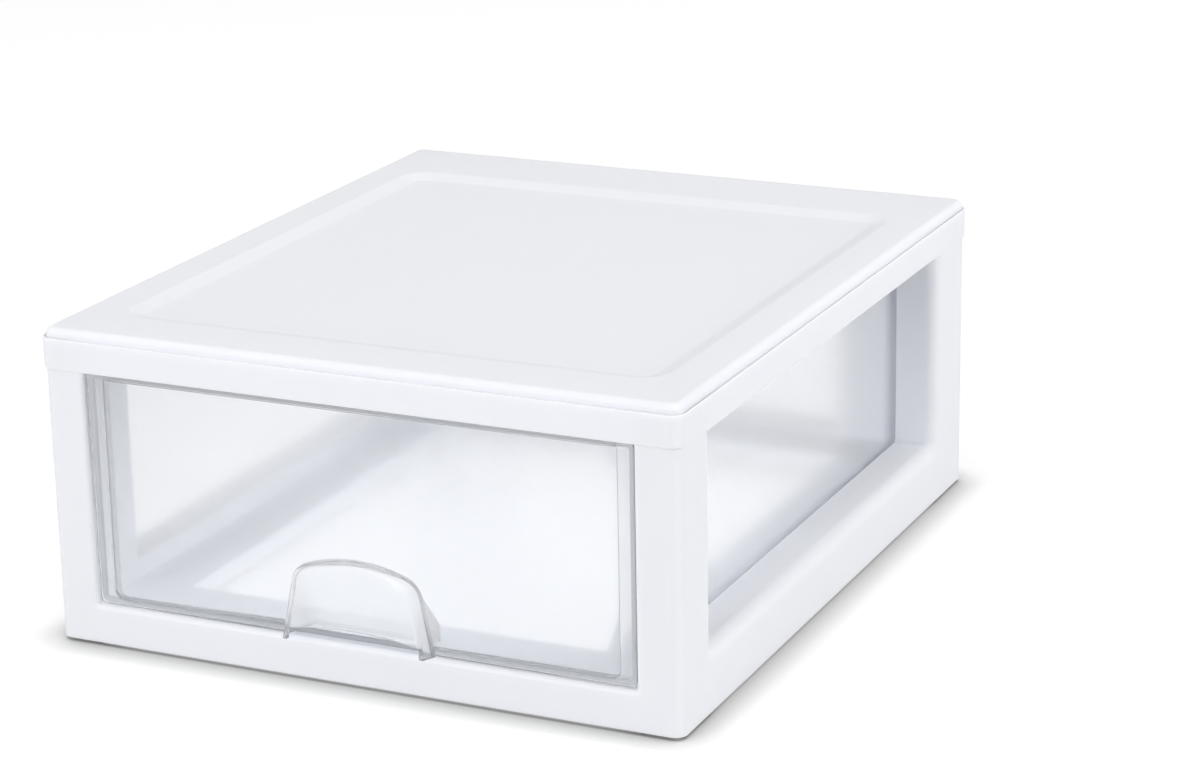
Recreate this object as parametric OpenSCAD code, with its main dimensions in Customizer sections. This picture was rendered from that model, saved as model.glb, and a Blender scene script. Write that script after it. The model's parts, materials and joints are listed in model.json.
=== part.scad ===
// Stackable drawer box: a white moulded frame that carries one clear pull-out drawer.
// X is the width, Y the depth with the front at -Y, Z is up. The origin lies on the
// surface the box stands on, below the middle of its overall width and depth.

/* [Overall size] */
// Overall width, measured across the cap
body_w = 365.1; // [340:0.1:400]
// Overall depth, from the nose of the pull to the back of the cap
body_d = 431.8; // [400:0.1:470]
// Overall height, from the stacking runners to the rim of the cap
body_h = 174.6; // [160:0.1:230]

/* [Frame walls] */
// Wall thickness of the frame mouldings
frame_wall = 2.5; // [2:0.1:3.5]
// Step from the outside of the cap skirt in to the posts
post_inset = 1.2; // [0.6:0.1:1.8]
// Clearance between the post spigots and the inside of the skirt
cap_fit = 0.3; // [0.2:0.05:0.6]
// Vertical corner radius of the posts
post_corner_r = 6.5; // [6:0.5:12]

/* [Top cap] */
// Height of the skirt that wraps the tops of the posts
skirt_h = 17; // [12:0.5:24]
// Thickness of the skirt
skirt_wall = 2.4; // [2:0.1:3]
// Height of the raised plate above the skirt
plate_h = 5; // [4:0.5:8]
// Width of the ledge between skirt and plate
plate_ledge = 2; // [1:0.5:4]
// Radius of the plate's upper edge
plate_edge_r = 3.5; // [2:0.5:4]
// Width of the flat margin beside the recess
margin_side = 25; // [20:0.5:32]
// Width of the flat margin in front of the recess
margin_front = 35; // [30:0.5:50]
// Width of the flat margin behind the recess
margin_rear = 55; // [40:0.5:60]
// Depth of the recess
recess_depth = 3; // [2.5:0.5:3.5]
// Run of the sloped wall round the recess
recess_slope = 12; // [8:0.5:15]
// Corner radius of the recess at its floor
recess_corner_r = 6; // [2:0.5:10]

/* [Posts and windows] */
// Width of a front post, seen from the front
front_post_w = 24.8; // [20:0.2:30]
// Width of a front post, seen from the side
front_post_d = 39.7; // [32:0.1:50]
// Width of a rear post, seen from the side
rear_post_d = 49.7; // [40:0.1:60]
// Width of a rear post with its panel, seen from behind
rear_post_w = 74.4; // [50:0.2:90]
// Thickness of the panels beside the rear window
rear_panel_d = 22.4; // [18:0.1:28]
// Height of the sill below each side window
side_sill_h = 36; // [30:0.5:44]
// Height of the sill below the rear window
rear_sill_h = 30; // [27:0.5:44]
// Edge radius round the side windows
side_rim_r = 8; // [4:0.5:9]
// Edge radius round the front and rear windows
end_rim_r = 3; // [2:0.5:4]

/* [Base rails] */
// Height of the track that the drawer slides on
track_h = 23.5; // [20:0.5:26]
// Gap between the lower edge of the frame and the surface below the runners
rim_gap = 2; // [1.5:0.1:2.4]
// Width of the track beside the base opening, from the side curb inwards
side_track_w = 34.5; // [25:0.5:50]
// Width of the track in front of the rear curb
rear_track_w = 34.3; // [25:0.1:50]
// Height of the stiffening lip round the base opening
track_lip_h = 10; // [6:0.5:14]
// Width of a stacking runner
runner_w = 3; // [2:0.5:5]
// Clearance between a stacking runner and the foot of the recess it drops into
stack_fit = 0.8; // [0.5:0.1:2]

/* [Drawer] */
// Setback of the drawer front behind the front of the posts
drawer_setback = 1.7; // [1:0.1:4]
// Gap between the drawer front and the front window, all round
front_gap = 0.9; // [0.5:0.1:1.5]
// Corner radius of the drawer front
front_corner_r = 4.5; // [2:0.5:8]
// Gap between the drawer walls and the frame on each side
drawer_side_gap = 3.4; // [2.5:0.1:6]
// Gap between the drawer and the track, and between the drawer and the rear stop
drawer_seat_gap = 0.3; // [0.2:0.05:0.5]
// Gap between the drawer rim and the lower edge of the cap skirt
drawer_top_gap = 4; // [3:0.1:8]
// Wall thickness of the drawer
drawer_wall = 2.2; // [1.8:0.1:3]
// Thickness of the drawer floor
drawer_floor = 2.4; // [1.8:0.1:3.5]
// Vertical corner radius of the drawer
drawer_corner_r = 14; // [9:0.5:18]
// Radius where the drawer walls turn into the floor
drawer_foot_r = 8; // [4:0.5:8.5]
// Height of the bead round the drawer rim
bead_h = 3; // [2:0.5:5]
// How far the bead stands out
bead_out = 1.2; // [0.6:0.1:1.8]
// Length of the drawer's travel
drawer_travel = 325; // [250:1:340]
// Length of a stop tab on the drawer rim
tab_len = 14; // [8:1:20]
// How far a stop tab reaches up behind the cap skirt
tab_catch = 6; // [3:0.5:8]

/* [Pull] */
// How far the pull stands out in front of the cap
pull_reach = 4; // [3:0.5:12]
// Width of the pull at its foot
pull_w = 88; // [78:0.5:110]
// Height of the pull above the track
pull_h = 46.2; // [40:0.2:60]
// Width of the pull across its shoulders
shoulder_w = 75.5; // [66:0.5:77]
// Radius of the pull's shoulders
shoulder_r = 13; // [8:0.5:16]
// Radius of the crown between the shoulders
crown_r = 85; // [70:1:140]
// How far the flank of the pull tapers in towards its face
pull_taper = 3.3; // [1:0.1:5]
// How far the upper face leans back above the crease
brow_lean = 2.4; // [0.5:0.1:3]
// Height of the crease above the lip
brow_rise = 19.5; // [12:0.5:22]
// Height of the finger gap under the pull at its middle
finger_gap = 10; // [8:0.5:14]
// How much lower the lip of the pull hangs at its ends
lip_bow = 3.6; // [0.5:0.1:5]
// Depth of the finger pocket at the track
pocket_d = 19; // [15:0.5:30]
// Height of the pocket's back wall at its deepest place
pocket_h = 14; // [10:0.5:24]

/* [Hidden] */
$fn = 64;
eps = 1;

// Cap
cap_x = body_w / 2;
front_y = -body_d / 2 + pull_reach;
rear_y = body_d / 2;
ledge_z = body_h - plate_h;
skirt_z = ledge_z - skirt_h;
cap_corner_r = post_corner_r + post_inset;
recess_x = cap_x - margin_side;
recess_front_y = front_y + margin_front;
recess_rear_y = rear_y - margin_rear;
recess_floor_z = body_h - recess_depth;
recess_roof_z = recess_floor_z - frame_wall;
margin_roof_z = body_h - frame_wall;

// Faces of the lower frame
face_x = cap_x - post_inset;
face_front_y = front_y + post_inset;
face_rear_y = rear_y - post_inset;
bay_x = face_x - front_post_w;
window_front_y = face_front_y + front_post_d;
window_rear_y = face_rear_y - rear_post_d;
rear_window_x = face_x - rear_post_w;
spigot_inset = skirt_wall + cap_fit - post_inset;
spigot_room = 3;
spigot_h = skirt_h - spigot_room;
window_flesh = 1;
front_web = end_rim_r + window_flesh;
side_web = side_rim_r + window_flesh;
rear_panel_y = face_rear_y - rear_panel_d;

// Drawer
drawer_x = bay_x - drawer_side_gap;
drawer_front_y = face_front_y + drawer_setback;
drawer_z = track_h + drawer_seat_gap;
drawer_top_z = skirt_z - drawer_top_gap;
drawer_rear_y = rear_panel_y - drawer_seat_gap;
tab_front_y = front_y + skirt_wall + drawer_seat_gap + drawer_travel;
tab_top_z = skirt_z + tab_catch;

// Base opening
base_open_x = bay_x - side_track_w;
base_open_rear_y = rear_panel_y - rear_track_w;

// Stacking runners reach the foot of the recess slope, less the clearance
runner_x = recess_x - recess_slope - stack_fit;
runner_front_y = recess_front_y + recess_slope + stack_fit;
runner_rear_y = recess_rear_y - recess_slope - stack_fit;

// Pull
pull_face_y = -body_d / 2;
pull_depth = drawer_front_y - pull_face_y;
crown_z = track_h + pull_h - crown_r;
shoulder_x = shoulder_w / 2 - shoulder_r;
crown_a = asin(shoulder_x / (crown_r - shoulder_r));
lip_x = pull_w / 2 - pull_taper - drawer_wall;
bow_r = (pow(lip_x, 2) + pow(lip_bow, 2)) / (2 * lip_bow);

frame_white = "#eeeff4";
clear_tint = "#dfe6ee";

// ---------------------------------------------------------------- shared shapes

// Rectangle between two corners, with round corners
module rounded_rect(x0, y0, x1, y1, r) {
    translate([x0 + r, y0]) square([x1 - x0 - 2 * r, y1 - y0]);
    translate([x0, y0 + r]) square([x1 - x0, y1 - y0 - 2 * r]);
    for (x = [x0 + r, x1 - r], y = [y0 + r, y1 - r])
        translate([x, y]) circle(r);
}

// Section w wide and h high, with round upper corners of radius e
module soft_section(w, h, e) {
    square([w, h - e]);
    translate([e, 0]) square([w - 2 * e, h]);
    for (x = [e, w - e])
        translate([x, h - e]) circle(e);
}

// Block with round vertical corners of radius r and a round upper edge of radius e
module soft_block(x0, y0, x1, y1, h, r, e) {
    translate([x0 + r, y0, 0]) rotate([90, 0, 90])
        linear_extrude(x1 - x0 - 2 * r) soft_section(y1 - y0, h, e);
    translate([x0, y1 - r, 0]) rotate([90, 0, 0])
        linear_extrude(y1 - y0 - 2 * r) soft_section(x1 - x0, h, e);
    for (x = [x0 + r, x1 - r], y = [y0 + r, y1 - r])
        translate([x, y, 0]) rotate_extrude() intersection() {
            translate([-r, 0]) soft_section(2 * r, h, e);
            square([r, h]);
        }
}

// What is left of a square corner outside its fillet, with the corner at the origin
module corner_waste(r) {
    difference() {
        translate([-eps, -eps]) square(r + eps);
        translate([r, r]) circle(r);
    }
}

// Waste that rounds the edge of an open-topped window in a face that looks towards -Y
module window_edge_waste(half_w, sill_z, top_z, r) {
    for (side = [0, 1])
        mirror([side, 0, 0]) translate([half_w, 0, 0]) {
            translate([0, 0, sill_z]) linear_extrude(top_z - sill_z) corner_waste(r);
            translate([0, 0, sill_z]) rotate([-90, 0, 0]) rotate_extrude(angle = 90) intersection() {
                corner_waste(r);
                translate([0, -eps]) square([r, r + eps]);
            }
        }
    translate([-half_w, 0, sill_z]) rotate([90, 90, 90]) linear_extrude(2 * half_w) mirror([0, 1])
        corner_waste(r);
}

module front_window_waste() {
    translate([0, face_front_y, 0]) window_edge_waste(bay_x, track_h, skirt_z, end_rim_r);
}

module rear_window_waste() {
    translate([0, face_rear_y, 0]) rotate(180)
        window_edge_waste(rear_window_x, rear_sill_h, skirt_z, end_rim_r);
}

module right_window_waste() {
    translate([face_x, (window_front_y + window_rear_y) / 2, 0]) rotate(90)
        window_edge_waste((window_rear_y - window_front_y) / 2, side_sill_h, skirt_z, side_rim_r);
}

// ---------------------------------------------------------------- top cap

// Sloped pocket in the plate: prisms between four cones, carried on past the plate along the same slope
module recess() {
    rise = recess_depth + eps;
    run = recess_slope * rise / recess_depth;
    top_r = recess_corner_r + recess_slope;
    front = recess_front_y + top_r;
    rear = recess_rear_y - top_r;
    side = recess_x - top_r;
    translate([0, 0, recess_floor_z]) {
        for (x = [-side, side], y = [front, rear])
            translate([x, y, 0]) cylinder(r1 = recess_corner_r, r2 = recess_corner_r + run, h = rise);
        translate([-side, 0, 0]) rotate([90, 0, 90]) linear_extrude(2 * side)
            recess_section(front - recess_corner_r, rear + recess_corner_r, run, rise);
        translate([0, rear, 0]) rotate([90, 0, 0]) linear_extrude(rear - front)
            recess_section(-side - recess_corner_r, side + recess_corner_r, run, rise);
    }
}

// Section from a to b at the floor, whose sides run out by run over the height rise
module recess_section(a, b, run, rise) {
    polygon([[a, 0], [b, 0], [b + run, rise], [a - run, rise]]);
}

module top_cap() {
    inner_x = cap_x - skirt_wall;
    inner_front = front_y + skirt_wall;
    inner_rear = rear_y - skirt_wall;
    inner_r = cap_corner_r - skirt_wall;
    lip = plate_ledge + frame_wall;
    color(frame_white) {
        difference() {
            union() {
                translate([0, 0, skirt_z]) linear_extrude(skirt_h)
                    rounded_rect(-cap_x, front_y, cap_x, rear_y, cap_corner_r);
                translate([0, 0, ledge_z - plate_edge_r])
                    soft_block(-cap_x + plate_ledge, front_y + plate_ledge,
                        cap_x - plate_ledge, rear_y - plate_ledge,
                        plate_h + plate_edge_r, cap_corner_r - plate_ledge, plate_edge_r);
            }
            recess();
            translate([0, 0, skirt_z - eps]) linear_extrude(recess_roof_z - skirt_z + eps)
                rounded_rect(-inner_x, inner_front, inner_x, inner_rear, inner_r);
            translate([0, 0, recess_roof_z - eps]) linear_extrude(margin_roof_z - recess_roof_z + eps)
                difference() {
                    rounded_rect(-cap_x + lip, front_y + lip, cap_x - lip, rear_y - lip, cap_corner_r - lip);
                    translate([-recess_x - frame_wall, recess_front_y - frame_wall])
                        square([
                            2 * (recess_x + frame_wall),
                            recess_rear_y - recess_front_y + 2 * frame_wall
                        ]);
                }
        }
    }
}

// ---------------------------------------------------------------- lower frame

// Upright with a spigot inside the cap skirt; its children are its own plan and the spigot's plan
module upright() {
    translate([0, 0, rim_gap]) linear_extrude(skirt_z - rim_gap) children(0);
    translate([0, 0, skirt_z - eps]) linear_extrude(spigot_h + eps) children(1);
}

// Hollow up through an upright, between two corners in plan
module upright_core(x0, y0, x1, y1) {
    translate([x0, y0, rim_gap - eps]) cube([x1 - x0, y1 - y0, body_h]);
}

// Front right post in plan, inset on its outer faces by d
module front_post_plan(d) {
    difference() {
        translate([bay_x, face_front_y + d]) square([front_post_w - d, front_post_d - d]);
        translate([face_x - d, face_front_y + d]) mirror([1, 0]) corner_waste(post_corner_r - d);
    }
}

module front_post() {
    inset = spigot_inset + frame_wall;
    difference() {
        upright() {
            front_post_plan(0);
            front_post_plan(spigot_inset);
        }
        front_window_waste();
        right_window_waste();
        upright_core(bay_x + front_web, face_front_y + inset, face_x - inset, window_front_y - side_web);
    }
}

// Rear right post in plan, inset on its outer faces by d
module rear_post_plan(d) {
    difference() {
        translate([bay_x, window_rear_y]) square([face_x - d - bay_x, rear_post_d - d]);
        translate([face_x - d, face_rear_y - d]) rotate(180) corner_waste(post_corner_r - d);
    }
}

module rear_post() {
    inset = spigot_inset + frame_wall;
    difference() {
        upright() {
            rear_post_plan(0);
            rear_post_plan(spigot_inset);
        }
        right_window_waste();
        upright_core(bay_x + frame_wall, window_rear_y + side_web, face_x - inset, face_rear_y - inset);
    }
}

// Panel between the rear right post and the rear window, inset on its outer face by d
module rear_panel_plan(d) {
    translate([rear_window_x, rear_panel_y]) square([bay_x - rear_window_x, rear_panel_d - d]);
}

module rear_panel() {
    difference() {
        upright() {
            rear_panel_plan(0);
            rear_panel_plan(spigot_inset);
        }
        rear_window_waste();
        upright_core(rear_window_x + front_web, rear_panel_y + frame_wall, bay_x - frame_wall,
            face_rear_y - spigot_inset - frame_wall);
    }
}

// Wall below the right window, open underneath: it guides the drawer's side
module side_sill() {
    difference() {
        translate([bay_x, window_front_y, rim_gap])
            cube([front_post_w, window_rear_y - window_front_y, side_sill_h - rim_gap]);
        translate([0, window_rear_y + eps, 0]) rotate([90, 0, 0])
            linear_extrude(window_rear_y - window_front_y + 2 * eps) side_sill_core();
        right_window_waste();
    }
}

// Hollow of the side sill, with the rounded edge of the window followed on the inside
module side_sill_core() {
    difference() {
        translate([bay_x + frame_wall, rim_gap - eps])
            square([front_post_w - 2 * frame_wall, side_sill_h - rim_gap - frame_wall + eps]);
        translate([face_x - frame_wall, side_sill_h - frame_wall]) rotate(180)
            corner_waste(side_rim_r - frame_wall);
    }
}

// Track along the right side, with the lip round the base opening and a stacking runner
module side_rail() {
    track_len = base_open_rear_y - window_front_y;
    runner_start_y = max(runner_front_y, window_front_y);
    runner_end_y = min(runner_rear_y, base_open_rear_y);
    translate([base_open_x, window_front_y, track_h - frame_wall])
        cube([side_track_w, track_len, frame_wall]);
    translate([base_open_x, window_front_y, track_h - track_lip_h])
        cube([frame_wall, track_len, track_lip_h]);
    translate([runner_x - runner_w, runner_start_y, 0])
        cube([runner_w, runner_end_y - runner_start_y, track_h - frame_wall + eps]);
}

// Channel along the front, open below
module front_rail() {
    color(frame_white) difference() {
        translate([-bay_x, face_front_y, rim_gap])
            cube([2 * bay_x, front_post_d, track_h - rim_gap]);
        translate([-bay_x - eps, face_front_y + front_web, rim_gap - eps])
            cube([2 * (bay_x + eps), front_post_d - front_web - frame_wall,
                track_h - frame_wall - rim_gap + eps]);
        translate([-bay_x - eps, window_front_y - frame_wall - eps, rim_gap - eps])
            cube([2 * (bay_x + eps), frame_wall + 2 * eps, track_h - track_lip_h - rim_gap + eps]);
        front_window_waste();
    }
}

// Track behind the base opening, with its lip
module rear_rail() {
    color(frame_white) {
        translate([-bay_x, base_open_rear_y, track_h - frame_wall])
            cube([2 * bay_x, rear_track_w, frame_wall]);
        translate([-base_open_x, base_open_rear_y, track_h - track_lip_h])
            cube([2 * base_open_x, frame_wall, track_lip_h]);
    }
}

// Wall below the rear window, open underneath: it stops the drawer at the back
module rear_sill() {
    color(frame_white) difference() {
        translate([-rear_window_x, rear_panel_y, rim_gap])
            cube([2 * rear_window_x, rear_panel_d, rear_sill_h - rim_gap]);
        translate([-rear_window_x - eps, rear_panel_y + frame_wall, rim_gap - eps])
            cube([2 * (rear_window_x + eps), rear_panel_d - frame_wall - front_web,
                rear_sill_h - frame_wall - rim_gap + eps]);
        rear_window_waste();
    }
}

module front_right_post() { color(frame_white) front_post(); }

module front_left_post() { color(frame_white) mirror([1, 0, 0]) front_post(); }

module rear_right_post() { color(frame_white) rear_post(); }

module rear_left_post() { color(frame_white) mirror([1, 0, 0]) rear_post(); }

module rear_right_panel() { color(frame_white) rear_panel(); }

module rear_left_panel() { color(frame_white) mirror([1, 0, 0]) rear_panel(); }

module right_sill() { color(frame_white) side_sill(); }

module left_sill() { color(frame_white) mirror([1, 0, 0]) side_sill(); }

module right_rail() { color(frame_white) side_rail(); }

module left_rail() { color(frame_white) mirror([1, 0, 0]) side_rail(); }

// ---------------------------------------------------------------- drawer

// Outline of the pull, looking along +Y, drawn in by d
module pull_outline(d) {
    hull() {
        for (side = [-1, 1])
            translate([side * shoulder_x, crown_z + (crown_r - shoulder_r) * cos(crown_a)])
                circle(shoulder_r - d, $fn = 32);
        polygon([
            for (a = [-crown_a : crown_a / 6 : crown_a])
                [(crown_r - d) * sin(a), crown_z + (crown_r - d) * cos(a)]
        ]);
        translate([-pull_w / 2 + d, drawer_z]) square([pull_w - 2 * d, eps]);
    }
}

// A slab of the pull's outline, t thick, whose front lies at y
module pull_slab(y, t, d) {
    translate([0, y + t, 0]) rotate([90, 0, 0]) linear_extrude(t) pull_outline(d);
}

// Foot of the pocket's back wall
module pocket_foot(d) {
    w = shoulder_w - 2 * d;
    y = drawer_front_y + pocket_d - d;
    translate([-w / 2, y - eps, drawer_z]) cube([w, eps, pocket_h - d]);
}

// The space the pocket takes out of the drawer, or its hollow with d
module pocket(d) {
    hull() {
        pull_slab(drawer_front_y, eps, d);
        pocket_foot(d);
    }
}

// The hood in front of the pocket, or its hollow with d: upright up to the crease, then leaning back
module hood(d) {
    hull() {
        pull_slab(drawer_front_y, eps, d);
        pull_slab(pull_face_y + brow_lean + d, eps, pull_taper + d);
        intersection() {
            pull_slab(pull_face_y + d, eps, pull_taper + d);
            below_bow(finger_gap + brow_rise - d, 90);
        }
    }
}

// Everything in front of the panel below a bow that is h above the track at its middle
module below_bow(h, sides) {
    translate([0, drawer_front_y + eps, track_h + h - bow_r]) rotate([90, 0, 0])
        cylinder(r = bow_r, h = pull_depth + 3 * eps, $fn = sides);
}

// The tub's outside, or with d and bottom given the space inside it, up to top
module tub_block(d, bottom, top) {
    translate([0, 0, top]) mirror([0, 0, 1])
        soft_block(-drawer_x + d, drawer_front_y + d, drawer_x - d, drawer_rear_y - d,
            top - bottom, drawer_corner_r - d, drawer_foot_r - d);
}

// Flat front that overlaps the tub on all sides
module front_plate() {
    half_w = bay_x - front_gap;
    translate([0, drawer_front_y + drawer_wall, 0]) rotate([90, 0, 0]) linear_extrude(drawer_wall)
        rounded_rect(-half_w, track_h + front_gap, half_w, skirt_z - front_gap, front_corner_r);
}

module rim_bead() {
    translate([0, 0, drawer_top_z - bead_h]) linear_extrude(bead_h)
        rounded_rect(-drawer_x - bead_out, drawer_front_y, drawer_x + bead_out, drawer_rear_y,
            drawer_corner_r);
}

// Tab on the rim that meets the inside of the cap skirt when the drawer is fully out
module stop_tab() {
    translate([drawer_x - drawer_wall, tab_front_y, drawer_top_z - eps])
        cube([drawer_wall, tab_len, tab_top_z - drawer_top_z + eps]);
}

module drawer_tub() {
    color(clear_tint) difference() {
        union() {
            tub_block(0, drawer_z, drawer_top_z);
            rim_bead();
            front_plate();
            for (side = [0, 1])
                mirror([side, 0, 0]) stop_tab();
        }
        tub_block(drawer_wall, drawer_z + drawer_floor, drawer_top_z + eps);
        pocket(0);
    }
}

// Hooded finger pull with the sloped pocket behind it, open below
module drawer_pull() {
    color(clear_tint) difference() {
        union() {
            pocket(0);
            hood(0);
        }
        translate([0, 0, -eps]) pocket(drawer_wall);
        hood(drawer_wall);
        finger_mouth();
    }
}

// Bowed gap under the lip, between the two legs of the hood
module finger_mouth() {
    intersection() {
        below_bow(finger_gap, 180);
        translate([-lip_x, pull_face_y - eps, 0]) cube([2 * lip_x, pull_depth + eps, body_h]);
    }
}

top_cap();
front_left_post();
front_right_post();
rear_left_post();
rear_right_post();
rear_left_panel();
rear_right_panel();
front_rail();
rear_rail();
left_rail();
right_rail();
rear_sill();
left_sill();
right_sill();
drawer_tub();
drawer_pull();
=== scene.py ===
"""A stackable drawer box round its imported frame: satin white mouldings, a clear drawer, a pale studio.

Lengths are metres. The box stands on z = 0 with its drawer front at -Y.
"""

from __future__ import annotations

import json
import logging
import math
from collections.abc import Callable
from dataclasses import dataclass
from enum import Enum

import bmesh
import bpy
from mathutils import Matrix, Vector

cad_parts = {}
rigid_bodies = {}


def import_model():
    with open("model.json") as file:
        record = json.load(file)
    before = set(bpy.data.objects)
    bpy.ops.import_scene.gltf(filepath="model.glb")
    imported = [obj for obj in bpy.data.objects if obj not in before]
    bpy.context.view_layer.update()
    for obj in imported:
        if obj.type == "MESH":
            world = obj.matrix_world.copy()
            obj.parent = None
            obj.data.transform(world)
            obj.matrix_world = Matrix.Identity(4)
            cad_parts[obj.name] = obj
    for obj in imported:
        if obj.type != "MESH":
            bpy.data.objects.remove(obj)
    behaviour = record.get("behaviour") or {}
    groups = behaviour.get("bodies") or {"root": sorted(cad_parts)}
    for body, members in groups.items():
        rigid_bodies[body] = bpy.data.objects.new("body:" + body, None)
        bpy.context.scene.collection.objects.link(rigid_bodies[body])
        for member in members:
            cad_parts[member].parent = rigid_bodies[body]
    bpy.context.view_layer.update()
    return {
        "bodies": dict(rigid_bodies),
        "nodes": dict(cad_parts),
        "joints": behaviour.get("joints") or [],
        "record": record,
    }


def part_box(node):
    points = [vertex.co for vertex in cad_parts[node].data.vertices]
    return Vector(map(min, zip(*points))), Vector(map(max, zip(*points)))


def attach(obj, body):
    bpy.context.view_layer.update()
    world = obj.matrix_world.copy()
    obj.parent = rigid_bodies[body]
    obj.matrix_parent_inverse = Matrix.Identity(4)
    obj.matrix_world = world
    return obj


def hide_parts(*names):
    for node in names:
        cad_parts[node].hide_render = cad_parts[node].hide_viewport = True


LOG = logging.getLogger("drawer_box")
MM = 0.001
SAME_POINT = 1e-4 * MM
WELD = 0.01 * MM
LEAST_RADIUS = 0.001 * MM
EDGE_STEPS = 3
NOSE_STEPS = 4
ROUND_STEPS = 8

Point = tuple[float, float, float]
Flat = tuple[float, float]
Ring = list[Point]
RingMaker = Callable[["Rect", float, float], Ring]
Socket = bpy.types.NodeSocket


class Op(Enum):
    """How one solid changes another."""

    JOIN = "UNION"
    CUT = "DIFFERENCE"


class Slot(Enum):
    """The record's material slots."""

    FRAME = "frame_plastic"
    DRAWER = "drawer_clear"


# ------------------------------------------------------------------ shape helpers


@dataclass(frozen=True)
class Rect:
    """An upright rectangle in plan or in elevation, between two corners."""

    x0: float
    y0: float
    x1: float
    y1: float

    def grown(self, by: float) -> "Rect":
        """This rectangle with each side moved out by a length."""
        return Rect(self.x0 - by, self.y0 - by, self.x1 + by, self.y1 + by)

    def corners(self) -> list[Flat]:
        """Its corners, counter-clockwise from the lowest."""
        return [(self.x0, self.y0), (self.x1, self.y0), (self.x1, self.y1), (self.x0, self.y1)]

    def rounded(self, radius: float, steps: int = 10) -> list[Flat]:
        """Counter-clockwise outline with round corners.

        Args:
            radius: corner radius.
            steps: straight pieces in each corner.

        Returns:
            4 * (steps + 1) points.
        """
        radius = max(radius, LEAST_RADIUS)
        arcs = (
            (self.x1 - radius, self.y0 + radius, -90),
            (self.x1 - radius, self.y1 - radius, 0),
            (self.x0 + radius, self.y1 - radius, 90),
            (self.x0 + radius, self.y0 + radius, 180),
        )
        points = []
        for middle_x, middle_y, start in arcs:
            for i in range(steps + 1):
                a = math.radians(start + 90 * i / steps)
                points.append((middle_x + radius * math.cos(a), middle_y + radius * math.sin(a)))
        return points


def level_ring(rect: Rect, radius: float, z: float) -> Ring:
    """A rounded rectangle lying level at height z."""
    return [(x, y, z) for x, y in rect.rounded(radius)]


def facing_ring(rect: Rect, radius: float, y: float) -> Ring:
    """A rounded rectangle that faces along Y; the rectangle's own Y is the height."""
    return [(x, y, z) for x, z in rect.rounded(radius)]


def side_ring(rect: Rect, radius: float, x: float) -> Ring:
    """A rounded rectangle that faces along X; the rectangle spans Y and height."""
    return [(x, y, z) for y, z in rect.rounded(radius)]


def quarter(steps: int) -> list[Flat]:
    """(1 - cos, sin) of the angles from 0 to 90 degrees, for rounding an edge."""
    angles = [math.radians(90 * i / steps) for i in range(steps + 1)]
    return [(1 - math.cos(a), math.sin(a)) for a in angles]


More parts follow.
